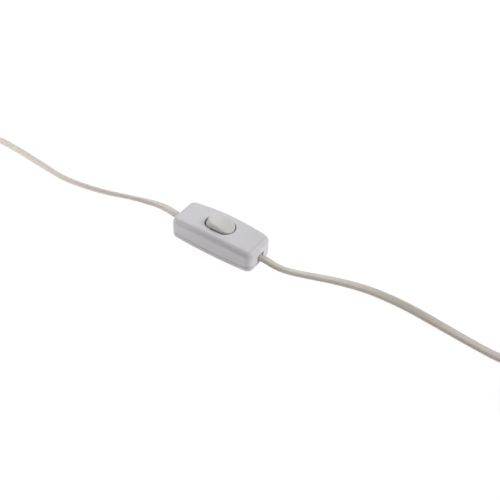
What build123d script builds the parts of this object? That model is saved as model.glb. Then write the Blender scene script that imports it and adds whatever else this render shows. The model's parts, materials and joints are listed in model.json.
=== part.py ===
from build123d import *
from math import cos, radians, sin, tan
import os

# In-line rocker switch on a flat two-core lamp cord. Millimetres, +Z up. The origin is the middle of the
# switch's underside, +X runs along the switch towards the plug, and +Y points to the lying cord's inner side.

# Housing outside
LENGTH = 62.0
END_WIDTH = 24.0
SIDE_BOW = 1.3
MID_HEIGHT = 17.1
CROWN = 2.1
CORNER_RADIUS = 4.7
TOP_ROUNDING = 3.9
BOTTOM_ROUNDING = 2.6
SEAM_GAP = 0.15
SEAM_CHAMFER = 0.15

# Walls of the two shells
WALL = 1.7
FLOOR = 1.8
ROOF_CHAMFER = 1.6
LIP_THICKNESS = 0.9
LIP_HEIGHT = 1.2
LIP_CLEARANCE = 0.15

# Cord and its way through the end walls
CORD_HEIGHT = 6.6
CORD_WIDTH = 5.4
CORD_THICKNESS = 3.2
CORE_OFFSET = 1.15
CORE_RADIUS = 0.95
CONDUCTOR_RADIUS = 0.5
NOTCH_SIDE_GAP = 0.5
NOTCH_TOP_GAP = 0.4
NOTCH_BOTTOM_GAP = 0.7

# Rocker and the opening that it works in
OPENING_LENGTH = 21.5
OPENING_WIDTH = 13.5
OPENING_CHAMFER = 0.25
ROCKER_END_GAP = 0.4
ROCKER_SIDE_GAP = 0.45
ROCKER_END_DRAFT = 12.0
ROCKER_SIDE_DRAFT = 1.0
ROCKER_ROUNDING = 1.0
ROCKER_WALL = 1.5
ROCKER_SLOPE = 10.25
RIDGE_RADIUS = 28.0
ROCKER_TILT = 13.0
ROCKER_CREST = 7.4
ROCKER_SKIRT = 3.5
ROCKER_ROOF = 2.6
PIVOT_HEIGHT = 13.4
TRUNNION_RADIUS = 1.4
TRUNNION_LENGTH = 2.6
TRUNNION_CLEARANCE = 0.05
CHEEK_GAP = 0.25
CHEEK_THICKNESS = 2.4
CHEEK_MARGIN = 1.2
CHEEK_DROP = 3.0

# Plunger and its spring, in the rocker's post
POST_RADIUS = 2.7
POST_LENGTH = 4.6
RIB_THICKNESS = 1.2
PLUNGER_RADIUS = 1.55
PLUNGER_CLEARANCE = 0.1
PLUNGER_REACH = 7.4
PLUNGER_LENGTH = 6.2
PLUNGER_TIP_RADIUS = 0.9
PLUNGER_NOSE = 1.6
SPRING_ROOM = 3.4
SPRING_WIRE = 0.25
SPRING_TURNS = 4
SPRING_PLAY = 0.15

# Lever, contacts and terminals
STRIP_THICKNESS = 0.6
STRIP_HEIGHT = 2.65
LEVER_WIDTH = 4.0
LEVER_REACH = 8.4
LEVER_TILT = 6.0
LEVER_PLAY = 0.25
LUG_LENGTH = 1.2
LUG_WIDTH = 1.2
EAR_WIDTH = 3.6
EAR_GAP = 0.3
EAR_RISE = 0.9
EAR_PLAY = 0.1
CONTACT_REACH = 7.0
CONTACT_RADIUS = 1.1
CONTACT_HEIGHT = 0.5
CONTACT_GAP = 0.15
CONTACT_BREAK = 3.0
TERMINAL_REACH = 12.5
TERMINAL_END = 2.6
TERMINAL_SHANK = 1.1
TERMINAL_HEAD = 2.2
TERMINAL_HEAD_HEIGHT = 1.5
TERMINAL_DEPTH = 1.2
SCREW_PLAY = 0.1
SCREW_SLOT = 0.5

# Neutral connector
CONNECTOR_LENGTH = 12.0
CONNECTOR_SIZE = 4.4
CONNECTOR_GAP = 0.35
CONNECTOR_BORE = 1.2
CONNECTOR_ROUNDING = 0.8
CONNECTOR_SCREW = 1.0
CONNECTOR_SCREW_SPAN = 6.4
CONNECTOR_SCREW_HEIGHT = 2.4

# Cord clamps
CLAMP_INSET = 7.0
CLAMP_WIDTH = 4.0
CLAMP_THICKNESS = 1.6
CLAMP_SCREW_SPAN = 10.8
CLAMP_SCREW_SHANK = 1.05
CLAMP_SCREW_HEAD = 1.9
CLAMP_SCREW_HEAD_HEIGHT = 1.3
CLAMP_BOSS = 1.9
CLAMP_SQUEEZE = 0.2
SHEATH_PAST_CLAMP = 1.0

# Cores between the sheath's end and their terminals
CORE_STRAIGHT = 1.7
LINE_RUN_IN = 1.7
NEUTRAL_RUN_IN = 3.6
CORE_STOP = 0.5
CONDUCTOR_STOP = 1.2

# Cover screws
POST_X = 17.5
POST_INSET = 3.7
POST_OUTER = 2.4
POST_TOP = 8.0
POST_GAP = 0.1
HEAD_PLAY = 0.15
COVER_SCREW_SHANK = 1.1
COVER_SCREW_HEAD = 1.7
COVER_SCREW_HEAD_HEIGHT = 1.1
COVER_SCREW_RECESS = 1.4
COVER_SCREW_REACH = 4.0

# Hanks of the put-away cord, their ties and the plug
TURN_HEIGHT = 5.6
TIE_THICKNESS = 0.6
TIE_WIDTH = 6.0
TIE_PLAY = 0.15
SUPPLY_HANK_LENGTH = 100.0
SUPPLY_HANK_WIDTH = 36.4
SUPPLY_HANK_WAIST = 20.0
SUPPLY_HANK_START = 197.0
SUPPLY_HANK_Y = 4.0
LAMP_HANK_LENGTH = 81.0
LAMP_HANK_WIDTH = 29.6
LAMP_HANK_WAIST = 13.6
LAMP_HANK_START = -216.0
LAMP_HANK_Y = 4.0
PLUG_WIDTH = 35.3
PLUG_THICKNESS = 13.7
PLUG_BODY = 23.0
PLUG_SHOULDER = 12.0
RELIEF_LENGTH = 22.0
RELIEF_ROOT = 11.0
RELIEF_ROOT_THICKNESS = 7.9
RELIEF_WALL = 1.0
RELIEF_SKIN = 0.4
RELIEF_SLOTS = 4
RELIEF_MIDDLE = 9.5
RELIEF_PITCH = 4.0
RELIEF_SLOT_WIDTH = 1.6
PLUG_START = 326.0
PLUG_BEND = 6.0
PLUG_ROUNDING = 2.0
PLUG_FRONT_ROUNDING = 0.8
PIN_RADIUS = 2.0
PIN_LENGTH = 19.0
PIN_SPACING = 18.6
PIN_TOE_IN = 1.65
SLEEVE_RADIUS = 1.8
SLEEVE_CORE = 1.45
SLEEVE_LENGTH = 10.0
PIN_ROOT = 6.0
PIN_TIP_ROUNDING = 1.4
LEAD_STRIP = 6.0

# Worked-out places
ARCH_RADIUS = (LENGTH**2 / 4 + CROWN**2) / (2 * CROWN)
CORD_TOP = CORD_HEIGHT + CORD_THICKNESS / 2
CORD_UNDERSIDE = CORD_HEIGHT - CORD_THICKNESS / 2
PARTING_HEIGHT = CORD_UNDERSIDE - NOTCH_BOTTOM_GAP
CLAMP_X = LENGTH / 2 - CLAMP_INSET
SHEATH_END = CLAMP_X - CLAMP_WIDTH / 2 - SHEATH_PAST_CLAMP
BASE_WALL = WALL + LIP_CLEARANCE + LIP_THICKNESS
POST_Y = END_WIDTH / 2 - POST_INSET
ROCKER_LENGTH = OPENING_LENGTH - 2 * ROCKER_END_GAP
ROCKER_WIDTH = OPENING_WIDTH - 2 * ROCKER_SIDE_GAP
FACET_DROP = OPENING_LENGTH * tan(radians(ROCKER_SLOPE))
CHEEK_INNER = OPENING_WIDTH / 2 + CHEEK_GAP
PLUNGER_TOP = PLUNGER_LENGTH - PLUNGER_REACH
BORE_TOP = PLUNGER_TOP + SPRING_ROOM
STRIP_TOP = STRIP_HEIGHT + STRIP_THICKNESS
STRIP_WIDTH = LEVER_WIDTH + 2 * (EAR_GAP + STRIP_THICKNESS)
TERMINAL_SEAT = STRIP_TOP + 2 * CONDUCTOR_RADIUS
TERMINAL_SIDE = TERMINAL_SHANK + CONDUCTOR_RADIUS
CONNECTOR_OFFSET = END_WIDTH / 2 + SIDE_BOW - BASE_WALL - CONNECTOR_GAP - CONNECTOR_SIZE / 2
CONNECTOR_HEIGHT = FLOOR + CONNECTOR_SIZE / 2
NEUTRAL_HEIGHT = CONNECTOR_HEIGHT - CONNECTOR_BORE + CONDUCTOR_RADIUS
HANK_FLOOR = TIE_THICKNESS
PLUG_HEIGHT = PLUG_THICKNESS / 2
PLUG_FRONT = PLUG_START + RELIEF_LENGTH + PLUG_BODY
SUPPLY_HANK_HEIGHT = 2 * TURN_HEIGHT
LAMP_HANK_HEIGHT = 2 * TURN_HEIGHT
HANK_TOP = HANK_FLOOR + SUPPLY_HANK_HEIGHT
TAIL_HEIGHT = HANK_TOP + CORD_THICKNESS / 2
LAMP_TRACK = LAMP_HANK_Y - LAMP_HANK_WIDTH / 2 + CORD_THICKNESS / 2
LAMP_END_HEIGHT = HANK_FLOOR + 1.5 * TURN_HEIGHT

# Routes of the lying cord, from the clamps outwards
SUPPLY_ROUTE = [
    (SHEATH_END, 0, CORD_HEIGHT),
    (LENGTH / 2 + 2, 0, CORD_HEIGHT),
    (46, 0.2, 3.6),
    (60, 5.6, 2.3),
    (78, 12.6, 2.4),
    (98, 18.4, 2.7),
    (122, 19.4, 2.7),
    (148, 16.8, 2.3),
    (172, 14.0, 2.0),
    (186, 13.3, 2.1),
    (200, 16.2, 2.9),
    (215, 20.1, 3.4),
]
SUPPLY_TAIL_ROUTE = [
    (238, SUPPLY_HANK_Y + 5.6, TAIL_HEIGHT),
    (254, SUPPLY_HANK_Y + 4.4, TAIL_HEIGHT),
    (270, SUPPLY_HANK_Y + 2.4, TAIL_HEIGHT),
    (286, SUPPLY_HANK_Y + 0.6, TAIL_HEIGHT + 0.3),
    (301, SUPPLY_HANK_Y, TAIL_HEIGHT - 1.6),
    (PLUG_START - 12, SUPPLY_HANK_Y, PLUG_HEIGHT),
    (PLUG_START, SUPPLY_HANK_Y, PLUG_HEIGHT),
]
LAMP_ROUTE = [
    (-SHEATH_END, 0, CORD_HEIGHT),
    (-LENGTH / 2 - 2, 0, CORD_HEIGHT),
    (-46, 3.2, 5.2),
    (-60, 4.6, 3.2),
    (-76, 0.9, 2.7),
    (-93, -4.8, 2.7),
    (-110, -8.6, 2.5),
    (-128, -10.6, 2.3),
    (-148, -8.8, 2.1),
    (-170, -6.4, 2.0),
    (-190, -5.1, 2.2),
    (-207, -5.6, 2.8),
    (-222, -8.4, 3.3),
    (-236, LAMP_TRACK + 0.5, 3.4),
]
LAMP_TAIL_ROUTE = [
    (-270, LAMP_TRACK + 5.4, LAMP_END_HEIGHT),
    (-278, LAMP_TRACK + 2.2, LAMP_END_HEIGHT - 0.1),
    (-287, LAMP_TRACK, LAMP_END_HEIGHT - 0.7),
    (-295, LAMP_TRACK, LAMP_END_HEIGHT - 1.7),
]
LEAD_ROUTE = [(0, CORE_OFFSET, 0), (-4.8, CORE_OFFSET, -0.6), (-9.5, 1.7, -4.9), (-14.1, 2.7, -5.5)]

# Planes that the plug's pins stand on, toed in
PIN_PLANES = [
    Plane(
        (PLUG_FRONT, SUPPLY_HANK_Y + side * PIN_SPACING / 2, PLUG_HEIGHT),
        z_dir=(cos(radians(PIN_TOE_IN)), -side * sin(radians(PIN_TOE_IN)), 0),
    )
    for side in (1, -1)
]

# The rocker's own plane stands on its pivot, tilted with its plug-side half pressed
TILT_SIN, TILT_COS = sin(radians(ROCKER_TILT)), cos(radians(ROCKER_TILT))
ROCKER_UP = (TILT_SIN, 0, TILT_COS)
ROCKER_PLANE = Plane((0, 0, PIVOT_HEIGHT), x_dir=(TILT_COS, 0, -TILT_SIN), z_dir=ROCKER_UP)
ROCKER_SIDE = Plane((0, 0, PIVOT_HEIGHT), x_dir=(TILT_COS, 0, -TILT_SIN), z_dir=(0, -1, 0))

# The plunger's nose passes the level lever with its play to spare
LEVER_HEIGHT = PIVOT_HEIGHT - PLUNGER_REACH - LEVER_PLAY - STRIP_THICKNESS
LEVER_SIN, LEVER_COS = sin(radians(LEVER_TILT)), cos(radians(LEVER_TILT))
LEVER_PLANE = Plane((0, 0, LEVER_HEIGHT), x_dir=(LEVER_COS, 0, LEVER_SIN), z_dir=(-LEVER_SIN, 0, LEVER_COS))


def bowed_outline(inset):
    """Plan of the housing, drawn in by the inset: straight ends and bowed long sides."""
    half_length, half_width = LENGTH / 2 - inset, END_WIDTH / 2 - inset
    with BuildSketch() as outline:
        with BuildLine():
            ThreePointArc(
                (-half_length, -half_width), (0, -half_width - SIDE_BOW), (half_length, -half_width)
            )
            Line((half_length, -half_width), (half_length, half_width))
            ThreePointArc(
                (half_length, half_width), (0, half_width + SIDE_BOW), (-half_length, half_width)
            )
            Line((-half_length, half_width), (-half_length, -half_width))
        make_face()
        fillet(outline.vertices(), max(CORNER_RADIUS - inset, 0.5))
    return outline.sketch


def arched_form(inset, floor, roof):
    """Closed housing form drawn in by the inset, from its floor up to an arched top lowered by the roof."""
    with BuildPart() as form:
        add(bowed_outline(inset))
        extrude(amount=MID_HEIGHT)
        with BuildSketch(Plane.XZ):
            with Locations((0, MID_HEIGHT - roof - ARCH_RADIUS)):
                Circle(ARCH_RADIUS)
            with Locations((0, floor + MID_HEIGHT / 2)):
                Rectangle(2 * LENGTH, MID_HEIGHT, mode=Mode.INTERSECT)
        extrude(amount=END_WIDTH, both=True, mode=Mode.INTERSECT)
    return form.part


def slotted_screw(plane, head, head_height, shank, length):
    """Slotted screw that stands on its plane: chamfered head above, shank below."""
    with BuildPart() as screw:
        with BuildSketch(plane):
            Circle(head)
        extrude(amount=head_height)
        chamfer(screw.edges().sort_by(plane_axis(plane))[-1], head_height / 3)
        with BuildSketch(plane):
            Circle(shank)
        extrude(amount=-length)
        with BuildSketch(plane.offset(head_height - SCREW_SLOT)):
            Rectangle(2 * head, SCREW_SLOT)
        extrude(amount=SCREW_SLOT, mode=Mode.SUBTRACT)
    return screw.part


def plane_axis(plane):
    """Axis through a plane's origin along its normal."""
    return Axis(plane.origin, plane.z_dir)


def arc_radii(points):
    """Radius at each corner of a route, as large as its two runs allow."""
    radii = []
    for before, corner, after in zip(points, points[1:], points[2:]):
        run_in = Vector(*corner) - Vector(*before)
        run_out = Vector(*after) - Vector(*corner)
        half_turn = radians(run_in.get_angle(run_out)) / 2
        radii.append(0.45 * min(run_in.length, run_out.length) / tan(half_turn))
    return radii


def flat_cord(name, points):
    """Flat cord along a route, lying on its wide side."""
    radii = arc_radii(points)
    start, towards = Vector(*points[0]), Vector(*points[1])
    with BuildPart() as cord:
        with BuildLine() as route:
            FilletPolyline(*points, radius=radii)
        with BuildSketch(Plane(start, x_dir=(0, 1, 0), z_dir=towards - start)) as section:
            SlotOverall(CORD_WIDTH, CORD_THICKNESS)
        sweep(path=route.wires()[0])
    share = cord.part.volume / (section.sketch.area * route.wires()[0].length)
    print(name, "radii", [round(radius) for radius in radii], "volume share", round(share, 3))
    return cord.part


def round_lead(points, radius):
    """Single core along a route."""
    start, towards = Vector(*points[0]), Vector(*points[1])
    with BuildPart() as lead:
        with BuildLine() as route:
            FilletPolyline(*points, radius=arc_radii(points))
        with BuildSketch(Plane(start, z_dir=towards - start)):
            Circle(radius)
        sweep(path=route.wires()[0])
    return lead.part


def straight_rod(start, end, radius):
    """Round rod between two points."""
    run = Vector(*end) - Vector(*start)
    with BuildPart() as rod:
        with BuildSketch(Plane(start, z_dir=run)):
            Circle(radius)
        extrude(amount=run.length)
    return rod.part


def hank_outline(length, width, waist):
    """Plan of a hank: a long loop that its tie draws in at the middle."""
    straight, depth = (length - width) / 2, (width - waist) / 2
    cut = (straight**2 + depth**2) / (2 * depth)
    with BuildSketch() as outline:
        SlotOverall(length, width)
        with Locations((0, waist / 2 + cut), (0, -waist / 2 - cut)):
            Circle(cut, mode=Mode.SUBTRACT)
    return outline.sketch


def hank_tie(middle, waist, height):
    """Flat band round the waist of a hank."""
    inner_width, inner_height = waist + 2 * TIE_PLAY, height
    x, y = middle
    plane = Plane((x, y, HANK_FLOOR + height / 2), x_dir=(0, 1, 0), z_dir=(1, 0, 0))
    with BuildPart() as tie:
        with BuildSketch(plane):
            RectangleRounded(inner_width + 2 * TIE_THICKNESS, inner_height + 2 * TIE_THICKNESS, TIE_THICKNESS)
            Rectangle(inner_width, inner_height, mode=Mode.SUBTRACT)
        extrude(amount=TIE_WIDTH / 2, both=True)
    return tie.part


# Housing forms shared by the two shells
with BuildPart() as outer_form:
    add(arched_form(0, 0, 0))
    fillet(outer_form.faces().sort_by(Axis.Z)[-1].edges(), TOP_ROUNDING)
    fillet(outer_form.faces().sort_by(Axis.Z)[0].edges(), BOTTOM_ROUNDING)
with BuildPart() as cover_room:
    add(arched_form(WALL, FLOOR, WALL))
    chamfer(cover_room.faces().sort_by(Axis.Z)[-1].edges(), ROOF_CHAMFER)
roof_form = arched_form(WALL / 2, FLOOR / 2, WALL / 2)
lip_form = arched_form(WALL + LIP_CLEARANCE, FLOOR / 2, WALL)
base_room = arched_form(BASE_WALL, FLOOR, WALL)
COVER_POSTS = [(POST_X, -POST_Y), (-POST_X, POST_Y)]

# Bearing cheeks and screw bosses that hang from the cover's roof
with BuildPart() as cover_insides:
    with BuildSketch(Plane.XY.offset(POST_TOP + POST_GAP)):
        with Locations(*COVER_POSTS):
            Circle(POST_OUTER)
    extrude(amount=MID_HEIGHT)
    cheek_y = CHEEK_INNER + CHEEK_THICKNESS / 2
    with BuildSketch(Plane.XY.offset(PIVOT_HEIGHT - CHEEK_DROP)):
        with Locations((0, cheek_y), (0, -cheek_y)):
            Rectangle(2 * (TRUNNION_RADIUS + CHEEK_MARGIN), CHEEK_THICKNESS)
    extrude(amount=MID_HEIGHT)
    add(roof_form, mode=Mode.INTERSECT)
    # Slots open downwards, so that the trunnions go in from below
    slot_radius = TRUNNION_RADIUS + TRUNNION_CLEARANCE
    with BuildSketch(Plane.XZ):
        with Locations((0, PIVOT_HEIGHT)):
            Circle(slot_radius)
        with Locations((0, PIVOT_HEIGHT - CHEEK_DROP)):
            Rectangle(2 * slot_radius, 2 * CHEEK_DROP)
    extrude(amount=END_WIDTH, both=True, mode=Mode.SUBTRACT)

# Top cover
with BuildPart() as top_cover:
    add(outer_form.part)
    split(bisect_by=Plane.XY.offset(PARTING_HEIGHT + SEAM_GAP), keep=Keep.TOP)
    chamfer(top_cover.faces().sort_by(Axis.Z)[0].edges(), SEAM_CHAMFER)
    add(cover_room.part, mode=Mode.SUBTRACT)
    add(cover_insides.part)
    with BuildSketch(Plane.XY.offset(PIVOT_HEIGHT)):
        SlotOverall(OPENING_LENGTH, OPENING_WIDTH)
    extrude(amount=MID_HEIGHT, mode=Mode.SUBTRACT)
    rim = top_cover.edges().filter_by_position(Axis.Y, -CHEEK_INNER, CHEEK_INNER)
    rim = rim.filter_by_position(Axis.X, -OPENING_LENGTH / 2, OPENING_LENGTH / 2)
    chamfer(rim.filter_by_position(Axis.Z, MID_HEIGHT - WALL / 2, MID_HEIGHT), OPENING_CHAMFER)
    with BuildSketch(Plane.YZ):
        with Locations((0, CORD_TOP + NOTCH_TOP_GAP)):
            Rectangle(CORD_WIDTH + 2 * NOTCH_SIDE_GAP, CORD_TOP, align=(Align.CENTER, Align.MAX))
    extrude(amount=LENGTH, both=True, mode=Mode.SUBTRACT)
    with BuildSketch(Plane.XY.offset(POST_TOP)):
        with Locations(*COVER_POSTS):
            Circle(COVER_SCREW_SHANK + SCREW_PLAY)
    extrude(amount=COVER_SCREW_REACH + 2 * POST_GAP, mode=Mode.SUBTRACT)
top_cover.part.label = "top_cover"

# Base tray: its wall up to the parting line and the lip inside the cover
with BuildPart() as tray:
    add(outer_form.part)
    split(bisect_by=Plane.XY.offset(PARTING_HEIGHT), keep=Keep.BOTTOM)
    chamfer(tray.faces().sort_by(Axis.Z)[-1].edges(), SEAM_CHAMFER)
with BuildPart() as base:
    add(lip_form)
    split(bisect_by=Plane.XY.offset(PARTING_HEIGHT + LIP_HEIGHT), keep=Keep.BOTTOM)
    add(tray.part)
    add(base_room, mode=Mode.SUBTRACT)
    with BuildSketch(Plane.YZ):
        with Locations((0, PARTING_HEIGHT)):
            Rectangle(CORD_WIDTH + 2 * NOTCH_SIDE_GAP, MID_HEIGHT, align=(Align.CENTER, Align.MIN))
    extrude(amount=LENGTH, both=True, mode=Mode.SUBTRACT)
    # Posts for the cover screws, bosses and seats for the cord clamps, pads under the terminals
    with BuildSketch(Plane.XY.offset(FLOOR / 2)):
        with Locations(*COVER_POSTS):
            Circle(POST_OUTER)
    extrude(amount=POST_TOP - FLOOR / 2)
    with BuildSketch(Plane.XY.offset(FLOOR / 2)):
        with GridLocations(2 * CLAMP_X, CLAMP_SCREW_SPAN, 2, 2):
            Circle(CLAMP_BOSS)
    extrude(amount=CORD_TOP - CLAMP_SQUEEZE - FLOOR / 2)
    with BuildSketch(Plane.XY.offset(FLOOR / 2)):
        with GridLocations(2 * CLAMP_X, 0, 2, 1):
            Rectangle(CLAMP_WIDTH, CORD_WIDTH)
    extrude(amount=CORD_UNDERSIDE - FLOOR / 2)
    with BuildSketch(Plane.XY.offset(FLOOR / 2)):
        with GridLocations(2 * TERMINAL_REACH, 0, 2, 1):
            Rectangle(2 * TERMINAL_END, STRIP_WIDTH)
        with GridLocations(2 * CONTACT_REACH, 0, 2, 1):
            Rectangle(2 * CONTACT_RADIUS, STRIP_WIDTH)
    extrude(amount=STRIP_HEIGHT - FLOOR / 2)
    # Screw holes
    with Locations(*[Location((x, y, 0), (180, 0, 0)) for x, y in COVER_POSTS]):
        CounterBoreHole(COVER_SCREW_SHANK + SCREW_PLAY, COVER_SCREW_HEAD + HEAD_PLAY, COVER_SCREW_RECESS)
    with BuildSketch(Plane.XY.offset(CORD_TOP)):
        with GridLocations(2 * CLAMP_X, CLAMP_SCREW_SPAN, 2, 2):
            Circle(CLAMP_SCREW_SHANK + SCREW_PLAY)
    extrude(amount=FLOOR - CORD_TOP, mode=Mode.SUBTRACT)
    with BuildSketch(Plane.XY.offset(STRIP_HEIGHT)):
        with GridLocations(2 * TERMINAL_REACH, 0, 2, 1):
            Circle(TERMINAL_SHANK + SCREW_PLAY)
    extrude(amount=-TERMINAL_DEPTH - SCREW_PLAY, mode=Mode.SUBTRACT)
base.part.label = "base"

# Cover screws, heads in the underside
with BuildPart() as cover_screws:
    for x, y in COVER_POSTS:
        add(
            slotted_screw(
                Plane((x, y, COVER_SCREW_RECESS), z_dir=(0, 0, -1)),
                COVER_SCREW_HEAD,
                COVER_SCREW_HEAD_HEIGHT,
                COVER_SCREW_SHANK,
                POST_TOP - COVER_SCREW_RECESS + COVER_SCREW_REACH,
            )
        )
cover_screws.part.label = "cover_screws"


def rocker_outline(level, inset):
    """Outline of the rocker at a level above its pivot, drawn in by the inset."""
    length = ROCKER_LENGTH - 2 * (inset + level * tan(radians(ROCKER_END_DRAFT)))
    width = ROCKER_WIDTH - 2 * (inset + level * tan(radians(ROCKER_SIDE_DRAFT)))
    with BuildSketch(ROCKER_PLANE.offset(level)) as outline:
        SlotOverall(length, width)
    return outline.sketch


# Rocker: drafted skirt, ridged top, post for the plunger and a trunnion on each side
with BuildPart() as rocker:
    add(rocker_outline(-ROCKER_SKIRT, 0))
    add(rocker_outline(ROCKER_CREST, 0))
    loft(ruled=True)
    with BuildSketch(ROCKER_SIDE) as facets:
        with BuildLine():
            Polyline(
                (0, ROCKER_CREST),
                (OPENING_LENGTH, ROCKER_CREST - FACET_DROP),
                (OPENING_LENGTH, ROCKER_CREST + FACET_DROP),
                (-OPENING_LENGTH, ROCKER_CREST + FACET_DROP),
                (-OPENING_LENGTH, ROCKER_CREST - FACET_DROP),
                close=True,
            )
        make_face()
        fillet(facets.vertices().sort_by_distance((0, ROCKER_CREST))[0], RIDGE_RADIUS)
    extrude(amount=END_WIDTH, both=True, mode=Mode.SUBTRACT)
    top_faces = rocker.faces().sort_by(plane_axis(ROCKER_PLANE))[-3:]
    fillet(top_faces.edges().filter_by(Axis.Y, reverse=True), ROCKER_ROUNDING)
    add(rocker_outline(-ROCKER_SKIRT, ROCKER_WALL))
    extrude(amount=ROCKER_SKIRT + ROCKER_CREST - ROCKER_ROOF, taper=ROCKER_END_DRAFT, mode=Mode.SUBTRACT)
    with BuildSketch(ROCKER_PLANE.offset(ROCKER_CREST - ROCKER_ROOF)):
        Circle(POST_RADIUS)
    extrude(amount=ROCKER_ROOF - ROCKER_CREST - POST_LENGTH)
    with BuildSketch(ROCKER_PLANE.offset(ROCKER_CREST - ROCKER_ROOF)):
        Rectangle(RIB_THICKNESS, ROCKER_WIDTH - ROCKER_WALL)
    extrude(amount=ROCKER_ROOF - ROCKER_CREST - TRUNNION_RADIUS)
    for side in (1, -1):
        trunnion_root = (0, side * (ROCKER_WIDTH / 2 - ROCKER_WALL / 2), PIVOT_HEIGHT)
        with BuildSketch(Plane(trunnion_root, x_dir=(1, 0, 0), z_dir=(0, side, 0))):
            Circle(TRUNNION_RADIUS)
        extrude(amount=ROCKER_WALL / 2 + TRUNNION_LENGTH)
    with BuildSketch(ROCKER_PLANE.offset(BORE_TOP)):
        Circle(PLUNGER_RADIUS + PLUNGER_CLEARANCE)
    extrude(amount=-BORE_TOP - POST_LENGTH, mode=Mode.SUBTRACT)
rocker.part.label = "rocker"

# Plunger with a rounded nose
with BuildPart() as plunger:
    nose = (PLUNGER_TIP_RADIUS, PLUNGER_TIP_RADIUS - PLUNGER_REACH)
    with BuildSketch(ROCKER_SIDE):
        with BuildLine():
            Polyline(
                (0, -PLUNGER_REACH),
                (0, PLUNGER_TOP),
                (PLUNGER_RADIUS, PLUNGER_TOP),
                (PLUNGER_RADIUS, PLUNGER_NOSE - PLUNGER_REACH),
                nose,
            )
            RadiusArc(nose, (0, -PLUNGER_REACH), PLUNGER_TIP_RADIUS)
        make_face()
    revolve(axis=plane_axis(ROCKER_PLANE))
plunger.part.label = "plunger"

# Spring between the plunger and the bottom of its bore
with BuildPart() as plunger_spring:
    coil_height = SPRING_ROOM - 2 * SPRING_WIRE
    coil_start = ROCKER_PLANE.offset(PLUNGER_TOP + SPRING_WIRE).origin
    with BuildLine() as coil:
        Helix(
            pitch=coil_height / SPRING_TURNS,
            height=coil_height,
            radius=PLUNGER_RADIUS - SPRING_WIRE - SPRING_PLAY,
            center=coil_start,
            direction=ROCKER_UP,
        )
    with BuildSketch(Plane(coil.edges()[0] @ 0, z_dir=coil.edges()[0] % 0)):
        RegularPolygon(SPRING_WIRE, 6)
    sweep(path=coil.wires()[0], is_frenet=True)
plunger_spring.part.label = "plunger_spring"

# See-saw lever with its side lugs
with BuildPart() as contact_lever:
    with BuildSketch(LEVER_PLANE):
        SlotOverall(2 * LEVER_REACH, LEVER_WIDTH)
        Rectangle(LUG_WIDTH, LEVER_WIDTH + 2 * LUG_LENGTH)
    extrude(amount=STRIP_THICKNESS)
contact_lever.part.label = "contact_lever"

# Contact buttons: one under the lever's end, one on the fixed terminal
with BuildPart() as moving_contact:
    with BuildSketch(LEVER_PLANE):
        with Locations((-CONTACT_REACH, 0)):
            Circle(CONTACT_RADIUS)
    extrude(amount=-CONTACT_HEIGHT)
    chamfer(moving_contact.edges().sort_by(Axis.Z)[0], CONTACT_HEIGHT / 2)
moving_contact.part.label = "moving_contact"

contact_drop = (CONTACT_REACH + CONTACT_RADIUS) * LEVER_SIN + CONTACT_HEIGHT * LEVER_COS
fixed_top = LEVER_HEIGHT - contact_drop - CONTACT_GAP
with BuildPart() as fixed_contact:
    with BuildSketch(Plane.XY.offset(STRIP_TOP)):
        with Locations((-CONTACT_REACH, 0)):
            Circle(CONTACT_RADIUS)
    extrude(amount=fixed_top - STRIP_TOP)
    chamfer(fixed_contact.edges().sort_by(Axis.Z)[-1], (fixed_top - STRIP_TOP) / 2)
fixed_contact.part.label = "fixed_contact"

# Terminal that carries the lever between two notched ears
with BuildPart() as pivot_terminal:
    strip_end = TERMINAL_REACH + TERMINAL_END
    with BuildSketch(Plane.XY.offset(STRIP_HEIGHT)):
        with Locations((-EAR_WIDTH / 2, 0)):
            Rectangle(strip_end + EAR_WIDTH / 2, STRIP_WIDTH, align=(Align.MIN, Align.CENTER))
        with Locations((TERMINAL_REACH, 0)):
            Circle(TERMINAL_SHANK + SCREW_PLAY, mode=Mode.SUBTRACT)
    extrude(amount=STRIP_THICKNESS)
    ear_y = (STRIP_WIDTH - STRIP_THICKNESS) / 2
    ear_height = LEVER_HEIGHT + STRIP_THICKNESS + EAR_RISE - STRIP_HEIGHT
    with BuildSketch(Plane.XY.offset(STRIP_HEIGHT)):
        with GridLocations(0, 2 * ear_y, 1, 2):
            Rectangle(EAR_WIDTH, STRIP_THICKNESS)
    extrude(amount=ear_height)
    with BuildSketch(Plane.XY.offset(LEVER_HEIGHT - EAR_PLAY)):
        Rectangle(LUG_WIDTH + 2 * EAR_PLAY, STRIP_WIDTH)
    extrude(amount=ear_height, mode=Mode.SUBTRACT)
pivot_terminal.part.label = "pivot_terminal"

# Terminal under the fixed contact
with BuildPart() as fixed_terminal:
    with BuildSketch(Plane.XY.offset(STRIP_HEIGHT)):
        with Locations((-strip_end, 0)):
            Rectangle(
                strip_end - EAR_WIDTH / 2 - CONTACT_BREAK, STRIP_WIDTH, align=(Align.MIN, Align.CENTER)
            )
        with Locations((-TERMINAL_REACH, 0)):
            Circle(TERMINAL_SHANK + SCREW_PLAY, mode=Mode.SUBTRACT)
    extrude(amount=STRIP_THICKNESS)
fixed_terminal.part.label = "fixed_terminal"

with BuildPart() as terminal_screws:
    for x in (TERMINAL_REACH, -TERMINAL_REACH):
        add(
            slotted_screw(
                Plane((x, 0, TERMINAL_SEAT)),
                TERMINAL_HEAD,
                TERMINAL_HEAD_HEIGHT,
                TERMINAL_SHANK,
                TERMINAL_SEAT - STRIP_HEIGHT + TERMINAL_DEPTH,
            )
        )
terminal_screws.part.label = "terminal_screws"

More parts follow.
